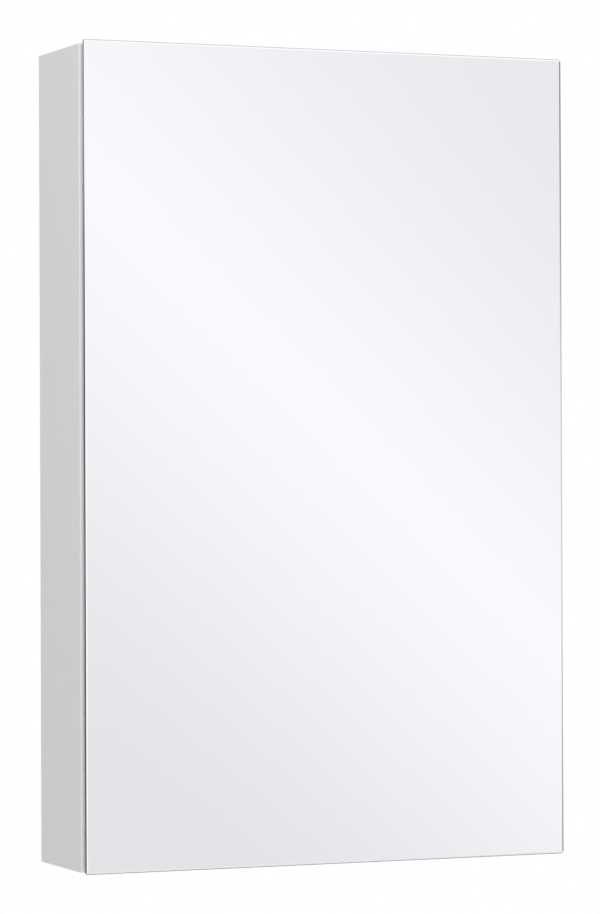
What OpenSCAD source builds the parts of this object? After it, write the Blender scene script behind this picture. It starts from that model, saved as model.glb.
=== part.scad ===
// One-door wall cabinet: a frameless mirror on a continuous hinge, in front of a board carcass.
// X runs right along the front, Y runs back to the wall, Z runs up.
// The origin is on the wall plane, at the centre of the four wall-fixing holes.

/* [Carcass] */
// Width over the two sides
cabinet_w = 450; // [360:1:600]
// Height of the sides
cabinet_h = 695; // [600:1:900]
// Depth of the sides, from the wall to the front edge
cabinet_d = 104; // [100:1:160]
// Thickness of the sides, top and bottom
board_t = 16; // [15:0.5:19]
// Thickness of the left, top and bottom edge bands
band_t = 2; // [1:0.5:3]
// Thickness of the band under the hinge
hinge_band_t = 1; // [0.5:0.5:2]
// Radius of the bands' long edges
band_round = 0.9; // [0.3:0.1:0.9]

/* [Back] */
// Thickness of the back panel
back_t = 3; // [3:0.5:5]
// Depth of the grooves that hold the back panel
groove_depth = 5; // [3:0.5:7]
// Play of the back panel across its groove
groove_play = 0.2; // [0.1:0.1:0.5]
// Room left for the back panel at the bottom of its groove
groove_end_play = 0.5; // [0.2:0.1:1]
// Thickness of the hanging rails
rail_t = 16; // [15:0.5:19]
// Height of the hanging rails
rail_h = 60; // [50:1:90]

/* [Wall fixing] */
// Distance between the wall holes, across
wall_hole_spacing = 300; // [200:1:320]
// Diameter of the wall holes
wall_hole_d = 6; // [5:0.5:8]

/* [Joints of the boards] */
// Diameter of the cams
cam_d = 15; // [12:0.5:15]
// Depth of the cams
cam_h = 12.2; // [11:0.1:12.5]
// Clearance of a cam in its pocket, all round
cam_clear = 0.1; // [0.05:0.05:0.3]
// Distance from a side to the cams' axes
cam_setback = 24; // [18:1:34]
// Diameter of the cam bolts' thread
bolt_thread_d = 5; // [4:0.5:6]
// Length of the cam bolts' thread
bolt_thread_l = 10.5; // [8:0.5:11]
// Diameter of the cam bolts' shank
bolt_shank_d = 6; // [5:0.5:7]
// Diameter of the cam bolts' head
bolt_head_d = 7; // [6.5:0.1:7.5]
// Length of the cam bolts' head
bolt_head_l = 4; // [3:0.5:5]
// Diameter of the neck that the cams grip
bolt_neck_d = 3.6; // [3:0.1:4.5]
// Clearance round the head and neck of a cam bolt
bolt_clear = 0.4; // [0.2:0.1:0.5]
// Diameter of the cover caps
cap_d = 17; // [16:0.5:20]
// Thickness of the cover caps
cap_t = 1; // [0.8:0.1:1.5]
// Chamfer round the cover caps
cap_chamfer = 0.5; // [0.2:0.1:0.6]
// Diameter of the dowels
dowel_d = 8; // [6:1:8]
// Length of the dowels
dowel_l = 30; // [25:1:35]
// How far a dowel goes into a side
dowel_in_side = 11; // [9:0.5:12]
// Distance between the two dowels of a panel's end
dowel_pitch = 50; // [36:1:60]
// Distance between the two dowels of a rail's end
rail_dowel_pitch = 32; // [24:1:36]
// Room beyond each end of a dowel
dowel_end_play = 0.5; // [0.2:0.1:1]

/* [Shelves] */
// Thickness of the glass shelves
shelf_t = 5; // [4:0.5:8]
// Gap between a shelf and each side
shelf_side_gap = 2; // [1:0.5:4]
// Gap between a shelf and the back panel
shelf_back_gap = 1; // [0.5:0.5:5]
// How far a shelf stays behind the front edge of the carcass
shelf_front_gap = 6; // [3:0.5:20]
// Radius of a shelf's front corners
shelf_corner_r = 5; // [2:0.5:12]
// Number of bores in each line
bore_rows = 14; // [8:2:16]
// Distance between bores
bore_pitch = 32; // [25:1:32]
// Bores left free between the end of a line and its shelf
free_bore_count = 3; // [0:1:3]
// Diameter of the shelf pins
pin_d = 5; // [4:0.5:6]
// Depth of the bores for the shelf pins
bore_depth = 9; // [7:0.5:11]
// Clearance of a shelf pin in its bore, all round
pin_clear = 0.05; // [0.02:0.01:0.1]
// How far a shelf pin stands out of the side
pin_reach = 7.5; // [6:0.5:12]
// Wall of the clear sleeves
sleeve_wall = 0.8; // [0.5:0.1:1.5]
// Distance from the carcass front to the front line of bores
front_bore_inset = 22; // [20:1:30]
// Distance from the back panel to the rear line of bores
rear_bore_inset = 17; // [12:1:25]

/* [Mirror door] */
// How far the mirror's side edges stay inside the carcass, left and right
mirror_reveal = 2; // [1.9:0.1:4]
// Thickness of the mirror, which is also its pencil edge
mirror_t = 4; // [3:0.5:6]
// How far the mirror stands above the carcass
mirror_over_top = 3.4; // [0:0.1:6]
// How far the mirror hangs below the carcass
mirror_over_bottom = 1.6; // [0:0.1:6]
// Gap between the carcass front and the mirror's back
door_gap = 2; // [2:0.1:4]
// Thickness of the white film on the mirror's back
film_t = 0.3; // [0.2:0.1:0.6]
// Margin of the film inside the mirror's rounded edge
film_margin = 0.5; // [0.2:0.1:3]

/* [Hinge] */
// Diameter of the hinge pin
hinge_pin_d = 2; // [1.8:0.1:2.2]
// Running clearance round the hinge pin
hinge_clear = 0.05; // [0.02:0.01:0.1]
// Thickness of the hinge leaves
leaf_t = 0.8; // [0.6:0.1:1]
// Width of a leaf, from the barrel's axis
leaf_w = 13; // [12:0.5:14]
// Length of one knuckle with its gap
knuckle_pitch = 20; // [15:1:30]
// Gap between two knuckles
knuckle_gap = 0.3; // [0.2:0.1:0.5]
// Gap between a leaf and the other leaf's knuckles
leaf_relief = 0.5; // [0.4:0.1:1]
// How far a leaf's outer face stands beyond the barrel, so that the knuckles run clear
leaf_set = 0.15; // [0.1:0.05:0.3]
// Seam where a knuckle's roll ends
seam = 0.2; // [0.1:0.1:0.3]
// Least distance from the hinge's ends to the ends of the carcass
hinge_end_gap = 15; // [5:1:40]
// Thickness of the bonding tape
tape_t = 0.6; // [0.4:0.1:1]
// Margin of the bonding tape inside the leaf
tape_margin = 0.5; // [0.3:0.1:1]
// Number of hinge screws
hinge_screw_count = 8; // [4:1:10]
// Distance from the hinge's ends to the first and last screw
hinge_screw_end = 22; // [10:1:40]

/* [Screws] */
// Diameter of the screws
screw_d = 2.8; // [2.4:0.1:3]
// Length of the hinge screws
hinge_screw_l = 12; // [10:0.5:12]
// Diameter of the countersunk heads
screw_head_d = 5.2; // [4.8:0.1:5.4]
// Height of the countersunk heads
screw_head_h = 1.5; // [1.2:0.1:1.8]
// Length of the catch screws under the head
catch_screw_l = 12; // [10:0.5:13]
// Diameter of the catch screws' flat heads
pan_head_d = 6; // [5:0.5:6.5]
// Height of the catch screws' flat heads
pan_head_h = 2; // [1.5:0.1:2.5]

/* [Magnetic catches] */
// Distance from the top and bottom panels to the catches' middles
catch_inset = 91.5; // [40:0.5:110]
// Length of a catch's foot
foot_l = 46; // [44:1:56]
// Thickness of a catch's foot
foot_t = 3; // [2:0.5:4]
// Length of a catch's body
catch_l = 26; // [24:1:30]
// How far a catch's body stands out from the side
catch_h = 13; // [11:0.5:16]
// Depth of a catch, front to back
catch_d = 14; // [12:0.5:18]
// Wall round the magnet
catch_wall = 1.5; // [1:0.1:2]
// Corner radius of a catch's body
catch_corner_r = 1.2; // [0.5:0.1:1.4]
// Corner radius of a catch's foot
foot_corner_r = 4; // [1:0.5:5]
// Thickness of the magnet
magnet_t = 4; // [3:0.5:5]
// Thickness of each pole plate
pole_t = 1.5; // [1:0.5:2]
// How far the pole plates stand out in front
pole_proud = 0.8; // [0.5:0.1:1]
// Clearance of the poles in their pocket
pocket_clear = 0.1; // [0.05:0.05:0.3]
// Thickness of the strike plates
strike_t = 1; // [0.8:0.1:1.2]
// Width of the strike plates
strike_w = 12; // [10:0.5:14]
// Length of the strike plates
strike_l = 30; // [26:1:40]
// Corner radius of the strike plates
strike_corner_r = 2; // [1:0.5:4]
// Thickness of the strikes' bonding pads
pad_t = 0.5; // [0.3:0.1:0.7]
// Gap between poles and strike with the door shut
strike_gap = 0.2; // [0.1:0.1:0.5]

/* [Door buffers] */
// Diameter of the buffers
buffer_d = 8; // [6:0.5:10]
// Gap between buffer and door with the door shut
buffer_gap = 0.2; // [0.1:0.1:0.5]
// Distance from the left side to the buffers' axes
buffer_inset = 30; // [15:1:60]

/* [Hidden] */
$fn = 48;
// Overlap of a cutting tool past the face it starts from
cut = 1;

// Carcass planes
outer_x = cabinet_w / 2;
inner_x = outer_x - board_t;
outer_z = cabinet_h / 2;
inner_z = outer_z - board_t;
front_y = -cabinet_d;
panel_z = outer_z - board_t / 2;
groove_w = back_t + groove_play;
back_y = -(rail_t + groove_w);
rail_z = inner_z - rail_h / 2;

// Door planes
glass_back_y = front_y - door_gap;
film_back_y = glass_back_y + film_t;
edge_r = mirror_t / 2;
mirror_w = cabinet_w - 2 * mirror_reveal;
mirror_h = cabinet_h + mirror_over_top + mirror_over_bottom;
mirror_mid_z = (mirror_over_top - mirror_over_bottom) / 2;

// Hinge axis, leaves and knuckles
hinge_pin_r = hinge_pin_d / 2;
barrel_r = hinge_pin_r + hinge_clear + leaf_t;
seam_angle = 155;
seam_reach = 0.1;
axis_x = mirror_w / 2;
leaf_face = barrel_r + leaf_set;
axis_y = film_back_y + tape_t + leaf_face;
hinge_seat_y = axis_y + leaf_face;
knuckle_count = 2 * floor((cabinet_h - 2 * hinge_end_gap - knuckle_pitch) / (2 * knuckle_pitch)) + 1;
hinge_l = knuckle_count * knuckle_pitch;
pin_head_h = 0.6;
pin_head_margin = 0.3;
pin_head_r = barrel_r - pin_head_margin;
hinge_screw_pitch = (hinge_l - 2 * hinge_screw_end) / (hinge_screw_count - 1);
screw_x = axis_x - (leaf_w + barrel_r + leaf_relief) / 2;

// Shelves
bore_r = pin_d / 2 + pin_clear;
sleeve_r = pin_d / 2 + sleeve_wall;
pin_collar_t = 0.8;
pin_collar_margin = 0.2;
pin_collar_r = sleeve_r - pin_collar_margin;
shelf_z = ((bore_rows - 1) / 2 - free_bore_count) * bore_pitch;
shelf_bottom_gap = sleeve_r;
shelf_back_y = back_y - shelf_back_gap;
shelf_front_y = front_y + shelf_front_gap;
front_bore_y = front_y + front_bore_inset;
rear_bore_y = back_y - rear_bore_inset;

// Joints of the boards
cam_y = front_y / 2;
cam_x = inner_x - cam_setback;
cam_pocket_r = cam_d / 2;
cam_recess = 0.2;
cam_cross_w = 8;
cam_cross_d = 2;
bolt_bore_r = bolt_head_d / 2 + bolt_clear;
bolt_chamfer = 0.8;
dowel_chamfer = 1;
dowel_in_panel = dowel_l - dowel_in_side;

// Cross recesses of the screws, and the slots that the catches slide on
flat_cross_w = 2.6;
flat_cross_d = 0.9;
pan_cross_w = 3.3;
pan_cross_d = 1.2;
slot_slide = 1;
slot_clear = 0.2;
slot_r = screw_d / 2 + slot_clear;

// Straight part of a buffer's edge, under its rounded shoulder
buffer_rim = 0.3;

// Catches
catch_z = inner_z - catch_inset;
pole_y = film_back_y + pad_t + strike_t + strike_gap;
housing_front_y = pole_y + pole_proud;
pole_l = catch_l - 2 * catch_wall;
pocket_w = magnet_t + 2 * pole_t;
pole_mid_x = inner_x - (foot_t + catch_h) / 2;
pole_d = catch_d - 2 * catch_wall;
catch_screw_z = (foot_l + catch_l) / 4;
catch_screw_y = housing_front_y + catch_d / 2;

// Both ends or both sides of what follows
module left_and_right() {
    children();
    mirror([1, 0, 0]) children();
}

module above_and_below() {
    children();
    mirror([0, 0, 1]) children();
}

module at_each_corner() {
    left_and_right() above_and_below() children();
}

// A block between two opposite corners
module block(low, high) {
    translate(low) cube(high - low);
}

// A rod along X, from x0 to x1
module rod_x(x0, x1, r) {
    translate([x0, 0, 0]) rotate([0, 90, 0]) cylinder(h = x1 - x0, r = r);
}

// A rod along Y, from y0 to y1
module rod_y(y0, y1, r) {
    translate([0, y0, 0]) rotate([-90, 0, 0]) cylinder(h = y1 - y0, r = r);
}

// A plane rectangle round the origin with rounded corners
module rounded_rectangle(w, h, r) {
    square([w - 2 * r, h], center = true);
    square([w, h - 2 * r], center = true);
    for (x = [-w / 2 + r, w / 2 - r])
        for (y = [-h / 2 + r, h / 2 - r])
            translate([x, y]) circle(r = r);
}

// A plate between x0 and x1, centred in Y and Z, with rounded corners
module plate_x(x0, x1, size_y, size_z, r) {
    translate([x0, 0, 0]) rotate([90, 0, 90])
        linear_extrude(height = x1 - x0) rounded_rectangle(size_y, size_z, r);
}

// A plate between y0 and y1, centred in X and Z, with rounded corners
module plate_y(y0, y1, size_x, size_z, r) {
    translate([0, y1, 0]) rotate([90, 0, 0])
        linear_extrude(height = y1 - y0) rounded_rectangle(size_x, size_z, r);
}

// A sheet in X and Y with its two front corners rounded
module front_rounded_sheet(half_w, y0, y1, r) {
    translate([-half_w, y0 + r]) square([2 * half_w, y1 - y0 - r]);
    translate([-half_w + r, y0]) square([2 * (half_w - r), 2 * r]);
    translate([-half_w + r, y0 + r]) circle(r = r);
    translate([half_w - r, y0 + r]) circle(r = r);
}

// Places on the right side where the boards are joined, as bores of the given radius and reach
module joint_bores(reach_in, reach_out) {
    above_and_below()
        translate([inner_x, cam_y, panel_z])
            for (dy = [-dowel_pitch / 2, dowel_pitch / 2])
                translate([0, dy, 0]) rod_x(-reach_in, reach_out, dowel_d / 2);
}

module rail_joint_bores(reach_in, reach_out) {
    above_and_below()
        for (dz = [-rail_dowel_pitch / 2, rail_dowel_pitch / 2])
            translate([inner_x, -rail_t / 2, rail_z + dz]) rod_x(-reach_in, reach_out, dowel_d / 2);
}

// What is cut from both sides, drawn for the right one
module side_cuts() {
    block(
        [inner_x - cut, back_y, -inner_z - groove_depth],
        [inner_x + groove_depth, -rail_t, inner_z + groove_depth]
    );
    for (row = [0 : bore_rows - 1])
        for (y = [front_bore_y, rear_bore_y])
            translate([inner_x, y, (row - (bore_rows - 1) / 2) * bore_pitch])
                rod_x(-cut, bore_depth, bore_r);
    above_and_below()
        translate([inner_x, cam_y, panel_z])
            rod_x(-cut, bolt_thread_l + dowel_end_play, bolt_thread_d / 2);
    joint_bores(cut, dowel_in_side + dowel_end_play);
    rail_joint_bores(cut, dowel_in_side + dowel_end_play);
}

module left_side() {
    color("#eceded")
        difference() {
            block([-outer_x, front_y + band_t, -outer_z], [-inner_x, 0, outer_z]);
            mirror([1, 0, 0]) side_cuts();
            catch_screw_places() rod_x(-catch_screw_l, cut, screw_d / 2);
        }
}

module right_side() {
    color("#eceded")
        difference() {
            block([inner_x, hinge_seat_y + hinge_band_t, -outer_z], [outer_x, 0, outer_z]);
            side_cuts();
            hinge_screw_places() screw_solid();
        }
}

// Top panel; the bottom panel is its mirror image
module upper_panel() {
    difference() {
        block([-inner_x, front_y + band_t, inner_z], [inner_x, 0, outer_z]);
        block(
            [-inner_x - cut, back_y, inner_z - cut],
            [inner_x + cut, -rail_t, inner_z + groove_depth]
        );
        left_and_right() {
            joint_bores(dowel_in_panel + dowel_end_play, cut);
            translate([cam_x, cam_y, panel_z]) rod_x(0, cam_setback + cut, bolt_bore_r);
            translate([cam_x, cam_y, outer_z - cam_h - cam_recess])
                cylinder(h = cam_h + cam_recess + cut, r = cam_pocket_r);
        }
    }
}

module top_panel() {
    color("#eceded") upper_panel();
}

module bottom_panel() {
    color("#eceded") mirror([0, 0, 1]) upper_panel();
}

// Section of an edge band, its front towards -Y, centred across the board
module band_section(thickness) {
    r = min(band_round, thickness / 2);
    translate([-board_t / 2, r]) square([board_t, thickness - r]);
    translate([-board_t / 2 + r, 0]) square([board_t - 2 * r, thickness]);
    translate([-board_t / 2 + r, r]) circle(r = r);
    translate([board_t / 2 - r, r]) circle(r = r);
}

module left_edge_band() {
    color("#f2f3f3")
        translate([-(inner_x + board_t / 2), front_y, -outer_z])
            linear_extrude(height = cabinet_h) band_section(band_t);
}

module right_edge_band() {
    color("#f2f3f3")
        difference() {
            translate([inner_x + board_t / 2, hinge_seat_y, -outer_z])
                linear_extrude(height = cabinet_h) band_section(hinge_band_t);
            hinge_screw_places() screw_solid();
        }
}

module panel_band() {
    translate([-inner_x, front_y, panel_z])
        rotate([0, 90, 0]) linear_extrude(height = 2 * inner_x) band_section(band_t);
}

module top_edge_band() {
    color("#f2f3f3") panel_band();
}

module bottom_edge_band() {
    color("#f2f3f3") mirror([0, 0, 1]) panel_band();
}

module wall_holes() {
    at_each_corner()
        translate([wall_hole_spacing / 2, 0, rail_z]) rod_y(back_y - cut, cut, wall_hole_d / 2);
}

module back_panel() {
    half_w = inner_x + groove_depth - groove_end_play;
    half_h = inner_z + groove_depth - groove_end_play;
    color("#e6e6e4")
        difference() {
            block(
                [-half_w, back_y + groove_play / 2, -half_h],
                [half_w, -rail_t - groove_play / 2, half_h]
            );
            wall_holes();
        }
}

module upper_rail() {
    difference() {
        block([-inner_x, -rail_t, inner_z - rail_h], [inner_x, 0, inner_z]);
        wall_holes();
        left_and_right() rail_joint_bores(dowel_in_panel + dowel_end_play, cut);
    }
}

module upper_hanging_rail() {
    color("#d8c7a6") upper_rail();
}

module lower_hanging_rail() {
    color("#d8c7a6") mirror([0, 0, 1]) upper_rail();
}

// Cam turned to hold its bolt: the wide way in faces away, and its wall grips behind the bolt's head
module cam_lock() {
    r = cam_pocket_r - cam_clear;
    difference() {
        cylinder(h = cam_h, r = r);
        translate([0, 0, cam_h]) mirror([0, 0, 1]) cross_recess(cam_cross_w, cam_cross_d);
        translate([0, 0, panel_z - (outer_z - cam_h - cam_recess)]) {
            rod_x(-cam_d, bolt_head_l / 2 + bolt_clear, bolt_bore_r);
            rod_x(0, cam_d, bolt_neck_d / 2 + bolt_clear);
        }
    }
}

// Cross-shaped tool mark, cut downwards from z = 0
module cross_recess(width, depth) {
    for (turn = [0, 90])
        rotate(turn) translate([-width / 2, -width / 10, -cut]) cube([width, width / 5, depth + cut]);
}

module cam_locks() {
    color("silver")
        at_each_corner()
            translate([cam_x, cam_y, outer_z - cam_recess - cam_h]) cam_lock();
}

// Half section of a cam bolt, its axis along Y: head at the origin, neck, shank, and thread in the side
module cam_bolt_section() {
    head_r = bolt_head_d / 2;
    neck_r = bolt_neck_d / 2;
    shank_r = bolt_shank_d / 2;
    thread_r = bolt_thread_d / 2;
    head_end = bolt_head_l / 2;
    thread_end = cam_setback + bolt_thread_l;
    polygon([
        [0, -head_end],
        [head_r - bolt_chamfer, -head_end],
        [head_r, -head_end + bolt_chamfer],
        [head_r, head_end - bolt_chamfer],
        [neck_r, head_end],
        [neck_r, cam_pocket_r],
        [shank_r, cam_pocket_r + bolt_chamfer],
        [shank_r, cam_setback],
        [thread_r, cam_setback],
        [thread_r, thread_end - bolt_chamfer],
        [thread_r - bolt_chamfer, thread_end],
        [0, thread_end]
    ]);
}

module cam_bolts() {
    color("silver")
        at_each_corner()
            translate([cam_x, cam_y, panel_z])
                rotate([0, 90, 0]) rotate_extrude() cam_bolt_section();
}

module cam_caps() {
    color("white")
        at_each_corner()
            translate([cam_x, cam_y, outer_z]) {
                cylinder(h = cap_t - cap_chamfer, r = cap_d / 2);
                translate([0, 0, cap_t - cap_chamfer])
                    cylinder(h = cap_chamfer, r1 = cap_d / 2, r2 = cap_d / 2 - cap_chamfer);
            }
}

// Dowel along X with chamfered ends, starting at x = 0
module dowel() {
    r = dowel_d / 2;
    rotate([0, 90, 0]) {
        cylinder(h = dowel_chamfer, r1 = r - dowel_chamfer, r2 = r);
        translate([0, 0, dowel_chamfer]) cylinder(h = dowel_l - 2 * dowel_chamfer, r = r);
        translate([0, 0, dowel_l - dowel_chamfer])
            cylinder(h = dowel_chamfer, r1 = r, r2 = r - dowel_chamfer);
    }
}

module dowels() {
    color("burlywood")
        at_each_corner()
            for (dy = [-dowel_pitch / 2, dowel_pitch / 2])
                translate([inner_x - dowel_in_panel, cam_y + dy, panel_z]) dowel();
}

module rail_dowels() {
    color("burlywood")
        at_each_corner()
            for (dz = [-rail_dowel_pitch / 2, rail_dowel_pitch / 2])
                translate([inner_x - dowel_in_panel, -rail_t / 2, rail_z + dz]) dowel();
}

module shelf() {
    translate([0, 0, shelf_bottom_gap])
        linear_extrude(height = shelf_t)
            front_rounded_sheet(inner_x - shelf_side_gap, shelf_front_y, shelf_back_y, shelf_corner_r);
}

module upper_shelf() {
    color("#bfe3dc", 0.5) translate([0, 0, shelf_z]) shelf();
}

module lower_shelf() {
    color("#bfe3dc", 0.5) translate([0, 0, -shelf_z]) shelf();
}

// The bores that carry the two shelves
module shelf_pin_places() {
    for (z = [-shelf_z, shelf_z])
        for (y = [front_bore_y, rear_bore_y])
            left_and_right() translate([inner_x, y, z]) children();
}

module shelf_pins() {
    color("silver")
        shelf_pin_places() {
            rod_x(-pin_reach, bore_depth - dowel_end_play, pin_d / 2);
            rod_x(-pin_collar_t, 0, pin_collar_r);
        }
}

module shelf_sleeves() {
    color("#e8f0f2", 0.6)
        shelf_pin_places()
            difference() {
                rod_x(-pin_reach, -pin_collar_t, sleeve_r);
                rod_x(-pin_reach - cut, cut, pin_d / 2);
            }
}

// Glass with a half-round edge on all four sides and ball-rounded corners
module mirror_glass() {
    half_w = mirror_w / 2 - edge_r;
    half_h = mirror_h / 2 - edge_r;
    color("#dfe6ea")
        translate([0, glass_back_y - edge_r, mirror_mid_z]) {
            block([-half_w, -edge_r, -half_h], [half_w, edge_r, half_h]);
            left_and_right() {
                translate([half_w, 0, -half_h]) cylinder(h = 2 * half_h, r = edge_r);
                above_and_below() translate([half_w, 0, half_h]) sphere(r = edge_r);
            }
            above_and_below() translate([0, 0, half_h]) rod_x(-half_w, half_w, edge_r);
        }
}

module mirror_backing() {
    half_w = mirror_w / 2 - edge_r - film_margin;
    half_h = mirror_h / 2 - edge_r - film_margin;
    color("#f4f4f2")
        block(
            [-half_w, glass_back_y, mirror_mid_z - half_h],
            [half_w, film_back_y, mirror_mid_z + half_h]
        );
}

// Section of a rolled knuckle, its leaf leaving towards -X along the back of the barrel
module knuckle_section(bore_radius) {
    inner_face = leaf_face - leaf_t;
    difference() {
        union() {
            circle(r = barrel_r);
            translate([-barrel_r - leaf_relief, inner_face]) square([barrel_r + leaf_relief, leaf_t]);
        }
        circle(r = bore_radius);
        rotate(seam_angle) translate([0, -seam / 2]) square([barrel_r + seam_reach, seam]);
    }
}

// One leaf with its knuckles: the first knuckle's place and the bore's radius tell the two apart
module hinge_leaf(first, bore_radius) {
    translate([-leaf_w, leaf_face - leaf_t, -hinge_l / 2])
        cube([leaf_w - barrel_r - leaf_relief, leaf_t, hinge_l]);
    for (i = [first : 2 : knuckle_count - 1])
        translate([0, 0, (i - knuckle_count / 2) * knuckle_pitch + knuckle_gap / 2])
            linear_extrude(height = knuckle_pitch - knuckle_gap) knuckle_section(bore_radius);
}

module hinge_screw_places() {
    for (i = [0 : hinge_screw_count - 1])
        translate([screw_x, hinge_seat_y - leaf_t, hinge_screw_end - hinge_l / 2 + i * hinge_screw_pitch])
            children();
}

// Countersunk screw along +Y, its head's face at y = 0
module screw_solid() {
    rotate([-90, 0, 0]) {
        cylinder(h = screw_head_h, r1 = screw_head_d / 2, r2 = screw_d / 2);
        translate([0, 0, screw_head_h]) cylinder(h = hinge_screw_l - screw_head_h, r = screw_d / 2);
    }
}

module hinge_body_leaf() {
    color("silver")
        difference() {
            translate([axis_x, axis_y, 0]) hinge_leaf(0, hinge_pin_r);
            hinge_screw_places() screw_solid();
        }
}

module hinge_door_leaf() {
    color("silver")
        translate([axis_x, axis_y, 0]) mirror([0, 1, 0]) hinge_leaf(1, hinge_pin_r + hinge_clear);
}

module hinge_pin() {
    color("gainsboro")
        translate([axis_x, axis_y, 0]) {
            cylinder(h = hinge_l, r = hinge_pin_r, center = true);
            above_and_below()
                translate([0, 0, (hinge_l - knuckle_gap) / 2]) cylinder(h = pin_head_h, r = pin_head_r);
        }
}

module hinge_screws() {
    color("silver")
        hinge_screw_places()
            difference() {
                screw_solid();
                rotate([-90, 0, 0]) cross_recess(flat_cross_w, flat_cross_d);
            }
}

module hinge_tape() {
    low_x = axis_x - leaf_w + tape_margin;
    high_x = axis_x - barrel_r - leaf_relief - tape_margin;
    half_l = hinge_l / 2 - tape_margin;
    color("white") block([low_x, film_back_y, -half_l], [high_x, film_back_y + tape_t, half_l]);
}

// Screws of the catches, their heads' undersides on the foot and their tips towards -X
module catch_screw_places() {
    for (z = [-catch_z, catch_z])
        for (dz = [-catch_screw_z, catch_screw_z])
            translate([-inner_x, catch_screw_y, z + dz]) children();
}

// Catch on the left side's inner face, centred on z = 0
module catch_housing() {
    difference() {
        translate([-inner_x, housing_front_y + catch_d / 2, 0]) {
            plate_x(0, foot_t, catch_d, foot_l, foot_corner_r);
            plate_x(0, foot_t + catch_h, catch_d, catch_l, catch_corner_r);
        }
        translate([-pole_mid_x, 0, 0])
            block(
                [-pocket_w / 2 - pocket_clear, housing_front_y - cut, -pole_l / 2 - pocket_clear],
                [pocket_w / 2 + pocket_clear, housing_front_y + pole_d, pole_l / 2 + pocket_clear]
            );
        for (dz = [-catch_screw_z, catch_screw_z])
            translate([-inner_x, catch_screw_y, dz]) {
                for (slide = [-slot_slide, slot_slide])
                    translate([0, slide, 0]) rod_x(-cut, foot_t + cut, slot_r);
                block([-cut, -slot_slide, -slot_r], [foot_t + cut, slot_slide, slot_r]);
            }
    }
}

module upper_catch_housing() {
    color("white") translate([0, 0, catch_z]) catch_housing();
}

module lower_catch_housing() {
    color("white") translate([0, 0, -catch_z]) catch_housing();
}

module catch_magnets() {
    color("#3a3a3c")
        for (z = [-catch_z, catch_z])
            translate([-pole_mid_x, 0, z])
                block(
                    [-magnet_t / 2, housing_front_y + catch_wall, -pole_l / 2],
                    [magnet_t / 2, housing_front_y + pole_d, pole_l / 2]
                );
}

module catch_poles() {
    color("silver")
        for (z = [-catch_z, catch_z])
            translate([-pole_mid_x, 0, z])
                left_and_right()
                    block(
                        [magnet_t / 2, pole_y, -pole_l / 2],
                        [pocket_w / 2, housing_front_y + pole_d, pole_l / 2]
                    );
}

module catch_screws() {
    color("silver")
        catch_screw_places()
            difference() {
                union() {
                    rod_x(-catch_screw_l, foot_t, screw_d / 2);
                    rod_x(foot_t, foot_t + pan_head_h, pan_head_d / 2);
                }
                translate([foot_t + pan_head_h, 0, 0]) rotate([0, -90, 0])
                    cross_recess(pan_cross_w, pan_cross_d);
            }
}

module strike_block(y0, y1, margin) {
    for (z = [-catch_z, catch_z])
        translate([-pole_mid_x, 0, z])
            plate_y(y0, y1, strike_w - 2 * margin, strike_l - 2 * margin, strike_corner_r - margin);
}

module strike_plates() {
    color("silver") strike_block(film_back_y + pad_t, film_back_y + pad_t + strike_t, 0);
}

module strike_pads() {
    color("white") strike_block(film_back_y, film_back_y + pad_t, tape_margin);
}

// Half section of a soft buffer with a rounded shoulder, its foot at y = 0
module buffer_section(height) {
    r = buffer_d / 2;
    shoulder = min(height - buffer_rim, buffer_d / 3);
    square([r, height - shoulder]);
    square([r - shoulder, height]);
    translate([r - shoulder, height - shoulder])
        intersection() {
            circle(r = shoulder);
            square(shoulder);
        }
}

// Buffers on the front edges of the top and bottom panels
module door_buffers() {
    height = front_y - film_back_y - buffer_gap;
    color("#e9edee", 0.8)
        above_and_below()
            translate([-inner_x + buffer_inset, front_y, panel_z])
                rotate([90, 0, 0]) rotate_extrude() buffer_section(height);
}

left_side();
right_side();
top_panel();
bottom_panel();
left_edge_band();
right_edge_band();
top_edge_band();
bottom_edge_band();
back_panel();
upper_hanging_rail();
lower_hanging_rail();
cam_locks();
cam_bolts();
cam_caps();
dowels();
rail_dowels();
upper_shelf();
lower_shelf();
shelf_pins();
shelf_sleeves();
mirror_glass();
mirror_backing();
hinge_body_leaf();
hinge_door_leaf();
hinge_pin();
hinge_screws();
hinge_tape();
upper_catch_housing();
lower_catch_housing();
catch_magnets();
catch_poles();
catch_screws();
strike_plates();
strike_pads();
door_buffers();
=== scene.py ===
"""Looks, light and camera for a wall cabinet with one frameless mirror door."""
import math

import bpy
from mathutils import Matrix, Vector


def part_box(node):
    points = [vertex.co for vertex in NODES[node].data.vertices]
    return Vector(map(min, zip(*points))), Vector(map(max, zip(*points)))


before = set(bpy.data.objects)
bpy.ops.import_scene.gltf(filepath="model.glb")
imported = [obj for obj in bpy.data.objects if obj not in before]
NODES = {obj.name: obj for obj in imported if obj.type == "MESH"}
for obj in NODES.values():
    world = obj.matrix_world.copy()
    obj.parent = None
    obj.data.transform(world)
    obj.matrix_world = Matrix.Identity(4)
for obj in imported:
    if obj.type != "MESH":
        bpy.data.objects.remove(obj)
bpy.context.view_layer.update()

MM = 0.001

# A surface faces along an axis where its normal's part on that axis is over this
FACING_LIMIT = 0.6
GLASS_IOR = 1.52


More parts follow.
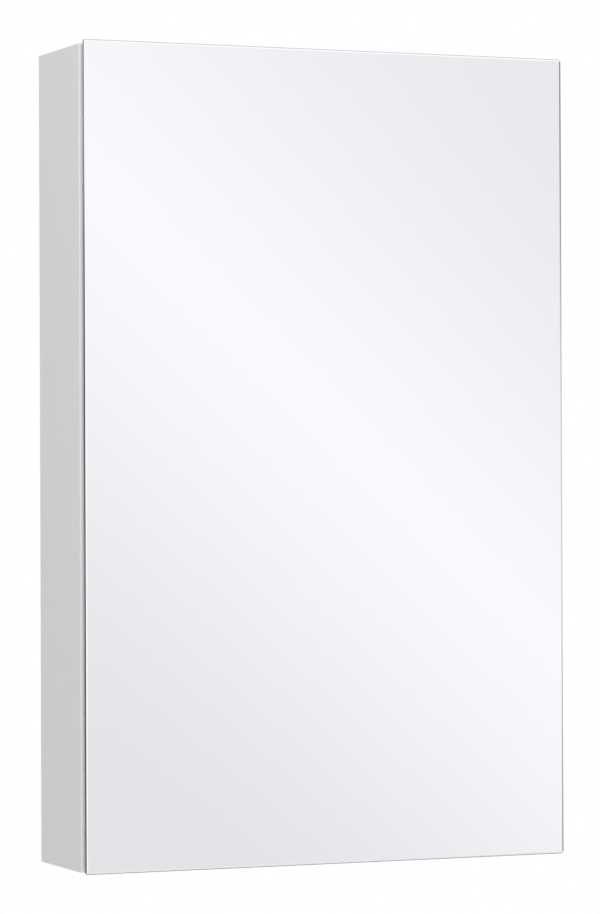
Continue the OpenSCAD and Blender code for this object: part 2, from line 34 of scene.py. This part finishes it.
class Graph:
    """Short calls for the nodes of one node tree."""

    def __init__(self, tree):
        self.tree = tree

    def node(self, kind, **properties):
        made = self.tree.nodes.new(kind)
        for name, value in properties.items():
            setattr(made, name, value)
        return made

    def link(self, source, socket):
        """Feeds a socket with another node's output or with a plain value."""
        if isinstance(source, bpy.types.NodeSocket):
            self.tree.links.new(source, socket)
        else:
            socket.default_value = source

    def math(self, operation, *values):
        made = self.node("ShaderNodeMath", operation=operation)
        for value, socket in zip(values, made.inputs):
            self.link(value, socket)
        return made.outputs[0]

    def parts(self, vector):
        """A vector's parts along X, Y and Z."""
        split = self.node("ShaderNodeSeparateXYZ")
        self.link(vector, split.inputs[0])
        return split.outputs

    def span(self, value, low, high, out_low=0.0, out_high=1.0, kind="LINEAR"):
        """A number that goes from out_low to out_high as the value goes from low to high."""
        made = self.node("ShaderNodeMapRange", interpolation_type=kind)
        numbers = (low, high, out_low, out_high)
        for socket, number in zip(("From Min", "From Max", "To Min", "To Max"), numbers):
            self.link(number, made.inputs[socket])
        self.link(value, made.inputs["Value"])
        return made.outputs[0]

    def blend(self, share, first, second):
        """Number first where share is 0, and second where it is 1."""
        made = self.node("ShaderNodeMix", data_type="FLOAT")
        for source, socket in zip((share, first, second), made.inputs[:1] + made.inputs[2:4]):
            self.link(source, socket)
        return made.outputs[0]


class Look(Graph):
    """A Principled material, with short calls for the nodes that feed it."""

    def __init__(self, name, **fixed):
        self.material = bpy.data.materials.new(name)
        self.material.use_nodes = True
        super().__init__(self.material.node_tree)
        self.shader = self.tree.nodes["Principled BSDF"]
        for socket, value in fixed.items():
            self.shader.inputs[socket.replace("_", " ")].default_value = value
        self.coords = self.node("ShaderNodeTexCoord")

    def feed(self, name, source):
        self.link(source, self.shader.inputs[name])

    def place(self, axis):
        """The place along an axis, in metres, in the object's own frame."""
        return self.parts(self.coords.outputs["Object"])[axis]

    def facing(self, axis, sign=1):
        """1 where the surface faces along the axis, and 0 elsewhere."""
        towards = self.math("MULTIPLY", self.parts(self.coords.outputs["Normal"])[axis], sign)
        return self.math("GREATER_THAN", towards, FACING_LIMIT)

    def stretched(self, stretch):
        """The place in the object's own frame, scaled along each axis."""
        mapping = self.node("ShaderNodeMapping")
        mapping.inputs["Scale"].default_value = stretch
        self.link(self.coords.outputs["Object"], mapping.inputs["Vector"])
        return mapping.outputs[0]

    def noise(self, size, detail=2.0, stretch=(1, 1, 1), roughness=0.5):
        """Noise whose features are about size metres across, before stretching."""
        made = self.node("ShaderNodeTexNoise")
        made.inputs["Scale"].default_value = 1 / size
        made.inputs["Detail"].default_value = detail
        made.inputs["Roughness"].default_value = roughness
        self.link(self.stretched(stretch), made.inputs["Vector"])
        return made.outputs["Fac"]

    def cells(self, size, stretch=(1, 1, 1)):
        """Cells about size metres across: a random value each, and the distance to its middle."""
        made = self.node("ShaderNodeTexVoronoi")
        made.inputs["Scale"].default_value = 1 / size
        self.link(self.stretched(stretch), made.inputs["Vector"])
        split = self.node("ShaderNodeSeparateColor")
        self.link(made.outputs["Color"], split.inputs[0])
        return split.outputs[0], made.outputs["Distance"]

    def mix(self, share, first, second):
        """Colour first where share is 0, and second where it is 1."""
        made = self.node("ShaderNodeMix", data_type="RGBA")
        self.link(share, made.inputs[0])
        for color, socket in zip((first, second), made.inputs[6:8]):
            self.link(color if isinstance(color, bpy.types.NodeSocket) else (*color, 1), socket)
        return made.outputs[2]

    def bump(self, height, depth):
        made = self.node("ShaderNodeBump")
        made.inputs["Distance"].default_value = depth
        self.link(height, made.inputs["Height"])
        self.feed("Normal", made.outputs[0])


def chipboard(look):
    """Colour and height of a sawn chipboard edge."""
    dark_chip, light_chip, pit = (0.36, 0.24, 0.13), (0.66, 0.52, 0.33), (0.17, 0.11, 0.06)
    tone, middle = look.cells(1.7 * MM, (1, 1, 0.6))
    fine = look.noise(0.5 * MM, 3.0)
    chips = look.mix(tone, dark_chip, light_chip)
    gaps = look.span(look.math("MULTIPLY", middle, fine), 0.18, 0.42)
    return look.mix(gaps, chips, pit), look.math("SUBTRACT", fine, gaps)


def melamine_look(name, raw_axis, raw_beyond=None):
    """Satin white board with raw chipboard on the edges that face along raw_axis.

    With raw_beyond, only the edge past that place along the axis is raw.
    """
    look = Look(name, Specular_IOR_Level=0.5)
    dull_white, bright_white = (0.79, 0.796, 0.797), (0.81, 0.816, 0.817)
    raw_roughness = 0.85
    grain = look.noise(0.9 * MM)
    cloud = look.noise(60 * MM, 1.0)
    face = look.mix(cloud, dull_white, bright_white)
    raw = look.facing(raw_axis)
    if raw_beyond is None:
        raw = look.math("MAXIMUM", raw, look.facing(raw_axis, -1))
    else:
        beyond = look.math("GREATER_THAN", look.place(raw_axis), raw_beyond)
        raw = look.math("MULTIPLY", raw, beyond)
    chips, chip_height = chipboard(look)
    look.feed("Base Color", look.mix(raw, face, chips))
    look.feed("Roughness", look.blend(raw, look.span(grain, 0, 1, 0.34, 0.46), raw_roughness))
    look.bump(look.blend(raw, look.math("MULTIPLY", grain, 0.12), chip_height), 0.25 * MM)
    return look.material


def band_look():
    """Edge band: the board's white, a little lighter and smoother."""
    look = Look("edge_band", Specular_IOR_Level=0.5)
    dull_white, bright_white = (0.832, 0.837, 0.836), (0.848, 0.853, 0.852)
    grain = look.noise(1.4 * MM)
    look.feed("Base Color", look.mix(look.noise(45 * MM, 1.0), dull_white, bright_white))
    look.feed("Roughness", look.span(grain, 0, 1, 0.3, 0.4))
    look.bump(grain, 0.02 * MM)
    return look.material


def back_look():
    """Thin fibreboard, coated white in front and bare brown behind."""
    look = Look("back_sheet", Specular_IOR_Level=0.4)
    white, dark_brown, light_brown = (0.8, 0.806, 0.806), (0.23, 0.135, 0.07), (0.36, 0.225, 0.13)
    coated_roughness = 0.42
    grain = look.noise(0.8 * MM, 3.0)
    fibres = look.noise(3.5 * MM, 4.0, (1, 1, 0.5), 0.65)
    bare = look.facing(1)
    brown = look.mix(look.span(fibres, 0.3, 0.7), dark_brown, light_brown)
    look.feed("Base Color", look.mix(bare, white, brown))
    bare_roughness = look.span(fibres, 0, 1, 0.62, 0.8)
    look.feed("Roughness", look.blend(bare, coated_roughness, bare_roughness))
    look.bump(grain, 0.05 * MM)
    return look.material


def wood_look():
    """Beech dowels, their grain along the dowel."""
    look = Look("beech", Specular_IOR_Level=0.3)
    dark_grain, light_grain = (0.56, 0.37, 0.21), (0.72, 0.53, 0.34)
    grain = look.noise(0.9 * MM, 4.0, (0.12, 1, 1), 0.6)
    look.feed("Base Color", look.mix(look.span(grain, 0.3, 0.7), dark_grain, light_grain))
    look.feed("Roughness", look.span(grain, 0, 1, 0.55, 0.7))
    look.bump(grain, 0.06 * MM)
    return look.material


def metal_look(name, dark, light, roughness, stretch=(1, 1, 1),
               size=0.4 * MM, patch=9 * MM, depth=0.01 * MM):
    """Metal with fine marks, stretched along its last machining, and broader patches."""
    look = Look(name, Metallic=1.0)
    uneven = 0.04
    marks = look.noise(size, 3.0, stretch, 0.6)
    shade = look.blend(0.3, marks, look.noise(patch, 1.0))
    look.feed("Base Color", look.mix(look.span(shade, 0.35, 0.65), dark, light))
    look.feed("Roughness", look.span(marks, 0.3, 0.7, roughness - uneven, roughness + uneven))
    look.bump(marks, depth)
    return look.material


def plastic_look(name, color, roughness, depth=0.015 * MM, **fixed):
    """Moulded plastic with a fine spark-eroded grain."""
    look = Look(name, Specular_IOR_Level=0.5, **fixed)
    uneven = 0.05
    grain = look.noise(0.35 * MM)
    lighter = tuple(min(1.0, c * 1.03) for c in color)
    look.feed("Base Color", look.mix(look.noise(14 * MM, 1.0), color, lighter))
    look.feed("Roughness", look.span(grain, 0, 1, roughness - uneven, roughness + uneven))
    look.bump(grain, depth)
    return look.material


def foam_look():
    """White closed-cell foam: fine cells on its cut edges."""
    look = Look("foam", Specular_IOR_Level=0.3)
    cell_middle, cell_wall = (0.86, 0.86, 0.84), (0.72, 0.72, 0.7)
    tone, middle = look.cells(0.16 * MM)
    look.feed("Base Color", look.mix(middle, cell_middle, cell_wall))
    look.feed("Roughness", look.span(tone, 0, 1, 0.7, 0.85))
    look.bump(middle, 0.03 * MM)
    return look.material


def shelf_look():
    """Clear float glass, green where its polished edges are seen."""
    look = Look("shelf_glass", IOR=GLASS_IOR)
    clear, green = (0.97, 0.99, 0.98), (0.28, 0.52, 0.44)
    edge_transmission = 0.3
    flat = look.math("MAXIMUM", look.facing(2), look.facing(2, -1))
    edge = look.math("SUBTRACT", 1.0, flat)
    edge_roughness = look.span(look.noise(0.6 * MM), 0, 1, 0.05, 0.16)
    look.feed("Base Color", look.mix(edge, clear, green))
    look.feed("Transmission Weight", look.blend(edge, 1.0, edge_transmission))
    look.feed("Roughness", look.blend(edge, 0.0, edge_roughness))
    return look.material


def mirror_look():
    """Silvered glass: bright face, darker glass round its pencil edge, painted rear edge."""
    look = Look("mirror", IOR=GLASS_IOR)
    dull_glass, bright_glass = (0.28, 0.3, 0.295), (0.3, 0.32, 0.315)
    # The rim glass that faces up is lighter: painted light from above, not a different glass
    top_glass_painted_light = (0.42, 0.44, 0.435)
    # The curved silver is whiter than the flat face: a painted highlight along the pencil edge
    curved_silver_painted_highlight, flat_silver = (1.0, 1.0, 1.0), (0.925, 0.94, 0.968)
    paint = (0.14, 0.156, 0.15)
    rim = 0.7 * MM
    blur = 0.1 * MM
    paint_start, paint_full = 0.1 * MM, 0.5 * MM

    low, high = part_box("mirror_glass")
    middle = (low + high) / 2
    half = (high - low) / 2
    gaps = []
    for axis in (0, 2):
        offset = look.math("ABSOLUTE", look.math("SUBTRACT", look.place(axis), middle[axis]))
        gaps.append(look.math("SUBTRACT", half[axis], offset))
    inset = look.math("MINIMUM", *gaps)
    silvered = look.span(inset, rim - blur, rim + blur)
    flat = look.span(inset, half[1] - blur, half[1])
    behind = look.span(look.place(1), middle[1] + paint_start, middle[1] + paint_full)

    glass = look.mix(look.noise(30 * MM), dull_glass, bright_glass)
    # Painted light: the rim that faces up is lighter, as if lit from above
    glass = look.mix(look.facing(2), glass, top_glass_painted_light)
    # Painted highlight: whiter silver where the face curves over into the edge
    silver = look.mix(flat, curved_silver_painted_highlight, flat_silver)
    front = look.mix(silvered, glass, silver)
    edge_roughness = look.span(look.noise(1.2 * MM), 0, 1, 0.04, 0.1)
    look.feed("Base Color", look.mix(behind, front, paint))
    look.feed("Metallic", look.math("SUBTRACT", 1.0, behind))
    look.feed("Roughness", look.blend(silvered, edge_roughness, 0.0))
    return look.material


def film_look():
    """White safety film, with the faint dimples of its glue."""
    look = Look("film", Specular_IOR_Level=0.45)
    dull_white, bright_white = (0.83, 0.835, 0.83), (0.86, 0.865, 0.86)
    dimples = look.noise(2.2 * MM)
    look.feed("Base Color", look.mix(look.noise(35 * MM), dull_white, bright_white))
    look.feed("Roughness", look.span(dimples, 0, 1, 0.38, 0.5))
    look.bump(dimples, 0.04 * MM)
    return look.material


def dress(material, *names):
    for name in names:
        for slot in NODES[name].material_slots:
            slot.material = material


def dress_boards():
    """The boards are raw on their rear edges, and the rails along their long edges."""
    rear = -0.5 * MM
    board = melamine_look("board", 1, rear)
    dress(board, "left_side", "right_side", "top_panel", "bottom_panel")
    dress(melamine_look("rail_board", 2), "upper_hanging_rail", "lower_hanging_rail")
    dress(band_look(), "left_edge_band", "right_edge_band", "top_edge_band", "bottom_edge_band")
    dress(back_look(), "back_panel")
    dress(wood_look(), "dowels", "rail_dowels")


def dress_fittings():
    zinc = metal_look("zinc", (0.42, 0.42, 0.42), (0.62, 0.62, 0.61), 0.42, size=1.1 * MM)
    dress(zinc, "cam_locks")
    steel = metal_look("plated_steel", (0.64, 0.64, 0.64), (0.76, 0.76, 0.755), 0.28,
                       depth=0.003 * MM)
    dress(steel, "cam_bolts", "shelf_pins", "hinge_screws", "catch_screws", "catch_poles",
          "strike_plates")
    brushed_along = (1, 1, 0.02)
    satin = metal_look("satin_stainless", (0.6, 0.6, 0.592), (0.72, 0.717, 0.705), 0.3,
                       brushed_along, patch=90 * MM)
    dress(satin, "hinge_body_leaf", "hinge_door_leaf", "hinge_pin")
    dress(metal_look("ferrite", (0.05, 0.05, 0.055), (0.1, 0.1, 0.105), 0.6), "catch_magnets")
    white = plastic_look("white_plastic", (0.83, 0.834, 0.832), 0.4)
    dress(white, "cam_caps", "upper_catch_housing", "lower_catch_housing")
    clear = plastic_look("clear_sleeve", (0.9, 0.93, 0.94), 0.14, depth=0.003 * MM,
                         Transmission_Weight=0.8, IOR=1.49)
    dress(clear, "shelf_sleeves")
    soft = plastic_look("clear_buffer", (0.9, 0.92, 0.925), 0.26, depth=0.005 * MM,
                        Transmission_Weight=0.35, IOR=1.48)
    dress(soft, "door_buffers")
    dress(foam_look(), "hinge_tape", "strike_pads")


def dress_glass():
    dress(shelf_look(), "upper_shelf", "lower_shelf")
    dress(mirror_look(), "mirror_glass")
    dress(film_look(), "mirror_backing")


# The camera as solved from the cabinet's straight edges in the photograph
CAMERA_PLACE = (-1.2811, -3.1162, -0.0187)
YAW, PITCH, ROLL = math.radians(22.630), math.radians(-0.337), math.radians(-0.208)
LENS = 149.84
SENSOR_WIDTH = 36
FARTHEST_SEEN = 60


def camera_axes():
    """Right, down and forward of the camera, as rows."""
    turn = Matrix.Rotation(YAW, 3, "Z")
    level = Matrix(((1, 0, 0), (0, 0, -1), (0, 1, 0)))
    return Matrix.Rotation(ROLL, 3, "Z") @ Matrix.Rotation(PITCH, 3, "X") @ level @ turn


def make_camera():
    right, down, forward = camera_axes()
    data = bpy.data.cameras.new("camera")
    data.lens = LENS
    data.sensor_width = SENSOR_WIDTH
    data.clip_end = FARTHEST_SEEN
    camera = bpy.data.objects.new("camera", data)
    turn = Matrix((right, -down, -forward)).transposed().to_4x4()
    camera.matrix_world = Matrix.Translation(CAMERA_PLACE) @ turn
    bpy.context.scene.collection.objects.link(camera)
    bpy.context.scene.camera = camera


# What reflections see. Directions are given by their part to the right or upward, from -1 to 1.
# In front are soft diagonal bands: the first ridge's place, the way from a ridge to the next
# valley, and the share of it that the fall has behind it at the ridge, which creases the ridge
RIDGE_OFFSET = 0.0125
BAND_WIDTH = 0.112
RIDGE_CREASE = 0.15
RIDGE_TONE = 1.0226
VALLEY_TONE = 0.843
VALLEY_RISE = 0.25
# A faint glow over the left of the bands
GLOW_FULL, GLOW_END = -0.35, -0.05
GLOW_TONE = 0.07
# The right side is dark grey, with a lighter stretch just below eye level
RIGHT_START, RIGHT_FULL = 0.48, 0.62
RIGHT_MIDDLE = -0.012
RIGHT_MIDDLE_HALF, RIGHT_GREY_START = 0.02, 0.105
RIGHT_MIDDLE_TONE, RIGHT_GREY_TONE = 0.64, 0.22
RIGHT_STEEP_TONE = 0.88
# The left side is dark round eye level, and bright a little above it
LEFT_FULL, LEFT_START = -0.95, -0.74
LEFT_DARK_TOP, LEFT_BRIGHT_FROM = 0.055, 0.095
LEFT_DARK_TONE, LEFT_BRIGHT_TONE = 0.08, 1.05
LEFT_STEEP_TONE = 0.78
# Away from eye level both sides go over to their steep tones, and high up is the ceiling
STEEP_START, STEEP_FULL = 0.1, 0.27
CEILING_START, CEILING_FULL = 0.3, 0.75
CEILING_TONE = 0.98
# What lights the rough surfaces, straight from below and from above
AMBIENT_BELOW, AMBIENT_ABOVE = 0.41, 0.54


def studio_tones(graph, direction):
    """Two tones of a direction: what a reflection shows there, and the soft light from there."""

    def smooth(value, low, high, out_low, out_high):
        return graph.span(value, low, high, out_low, out_high, "SMOOTHSTEP")

    split = graph.parts(direction)
    rightward, upward = split[0], split[2]
    right, down = camera_axes()[:2]
    across = (right - down) / math.sqrt(2)
    along = graph.node("ShaderNodeVectorMath", operation="DOT_PRODUCT")
    graph.link(direction, along.inputs[0])
    along.inputs[1].default_value = (across.x, -across.y, across.z)
    off_ridge = graph.math("SUBTRACT", along.outputs["Value"], RIDGE_OFFSET)
    to_ridge = graph.math("PINGPONG", off_ridge, BAND_WIDTH)
    valley = graph.math("MULTIPLY_ADD", upward, VALLEY_RISE, VALLEY_TONE)
    bands = smooth(to_ridge, -RIDGE_CREASE * BAND_WIDTH, BAND_WIDTH, RIDGE_TONE, valley)
    glow = smooth(rightward, GLOW_FULL, GLOW_END, GLOW_TONE, 0.0)
    front = graph.math("ADD", bands, glow)

    steepness = graph.math("ABSOLUTE", graph.math("ADD", upward, -RIGHT_MIDDLE))
    steep = smooth(steepness, STEEP_START, STEEP_FULL, 0.0, 1.0)
    right_level = smooth(steepness, RIGHT_MIDDLE_HALF, RIGHT_GREY_START,
                         RIGHT_MIDDLE_TONE, RIGHT_GREY_TONE)
    left_level = smooth(upward, LEFT_DARK_TOP, LEFT_BRIGHT_FROM,
                        LEFT_DARK_TONE, LEFT_BRIGHT_TONE)
    right_tone = graph.blend(steep, right_level, RIGHT_STEEP_TONE)
    left_tone = graph.blend(steep, left_level, LEFT_STEEP_TONE)

    at_right = smooth(rightward, RIGHT_START, RIGHT_FULL, 0.0, 1.0)
    at_left = smooth(rightward, LEFT_FULL, LEFT_START, 1.0, 0.0)
    high_up = smooth(upward, CEILING_START, CEILING_FULL, 0.0, 1.0)
    reflected = graph.blend(at_right, front, right_tone)
    reflected = graph.blend(at_left, reflected, left_tone)
    reflected = graph.blend(high_up, reflected, CEILING_TONE)
    ambient = smooth(upward, -1.0, 1.0, AMBIENT_BELOW, AMBIENT_ABOVE)
    return reflected, ambient


def make_world():
    """White to the camera and through glass, the studio to reflections, soft light to all else."""
    world = bpy.data.worlds.new("studio")
    bpy.context.scene.world = world
    world.use_nodes = True
    world.node_tree.nodes.clear()
    graph = Graph(world.node_tree)
    direction = graph.node("ShaderNodeTexCoord").outputs["Generated"]
    reflected, ambient = studio_tones(graph, direction)

    rays = graph.node("ShaderNodeLightPath").outputs
    glossy = rays["Is Glossy Ray"]
    seen = graph.math("MAXIMUM", rays["Is Camera Ray"], rays["Is Transmission Ray"])
    plain = graph.math("MULTIPLY", ambient, graph.math("SUBTRACT", 1.0, glossy))
    lit = graph.math("ADD", plain, graph.math("MULTIPLY", reflected, glossy))
    unseen = graph.math("MULTIPLY", lit, graph.math("SUBTRACT", 1.0, seen))
    background = graph.node("ShaderNodeBackground")
    background.inputs["Color"].default_value = (1, 1, 1, 1)
    graph.link(graph.math("ADD", unseen, seen), background.inputs["Strength"])
    output = graph.node("ShaderNodeOutputWorld")
    graph.link(background.outputs[0], output.inputs["Surface"])


LAMP_AIM = Vector((0, -0.05, 0))


def make_lamp(name, place, size, power):
    """A square lamp, size metres wide, aimed at the cabinet and never seen itself."""
    data = bpy.data.lights.new(name, "AREA")
    data.shape = "RECTANGLE"
    data.size = size
    data.size_y = size
    data.energy = power
    lamp = bpy.data.objects.new(name, data)
    lamp.location = place
    lamp.rotation_euler = (LAMP_AIM - Vector(place)).to_track_quat("-Z", "Y").to_euler()
    lamp.visible_glossy = False
    lamp.visible_camera = False
    bpy.context.scene.collection.objects.link(lamp)


def make_lamps():
    make_lamp("key", place=(-0.85, -3.1, 1.5), size=1.6, power=43)
    make_lamp("left_fill", place=(-1.25, -0.9, 1.0), size=0.8, power=5)
    make_lamp("right_fill", place=(2.4, -1.2, 0.8), size=1.6, power=14)
    make_lamp("back_fill", place=(0.6, 2.6, 1.2), size=1.8, power=16)


FLOOR_HEIGHT = -1.45
FLOOR_RADIUS = 4.5
FLOOR_CORNERS = 96
FADE_START, FADE_END = 0.8, 0.95 * FLOOR_RADIUS


def floor_look():
    """Pale floor that fades into the backdrop away from the object, unseen from below."""
    look = Look("floor", Roughness=0.75)
    dull_floor, bright_floor = (0.86, 0.86, 0.855), (0.885, 0.885, 0.88)
    distance = look.node("ShaderNodeVectorMath", operation="LENGTH")
    look.link(look.coords.outputs["Object"], distance.inputs[0])
    far = look.span(distance.outputs["Value"], FADE_START, FADE_END)
    look.feed("Base Color", look.mix(look.noise(0.4), dull_floor, bright_floor))
    joined = look.node("ShaderNodeMixShader")
    below = look.node("ShaderNodeNewGeometry").outputs["Backfacing"]
    look.link(look.math("MAXIMUM", far, below), joined.inputs[0])
    look.link(look.shader.outputs[0], joined.inputs[1])
    look.link(look.node("ShaderNodeBsdfTransparent").outputs[0], joined.inputs[2])
    look.link(joined.outputs[0], look.tree.nodes["Material Output"].inputs["Surface"])
    return look.material


def make_floor():
    ring = [math.tau * i / FLOOR_CORNERS for i in range(FLOOR_CORNERS)]
    points = [(FLOOR_RADIUS * math.cos(a), FLOOR_RADIUS * math.sin(a), 0) for a in ring]
    mesh = bpy.data.meshes.new("floor")
    mesh.from_pydata(points, [], [list(range(FLOOR_CORNERS))])
    mesh.materials.append(floor_look())
    floor = bpy.data.objects.new("floor", mesh)
    floor.location = (0, 0, FLOOR_HEIGHT)
    bpy.context.scene.collection.objects.link(floor)


dress_boards()
dress_fittings()
dress_glass()
make_camera()
make_world()
make_lamps()
make_floor()
bpy.context.scene.view_settings.view_transform = "Standard"
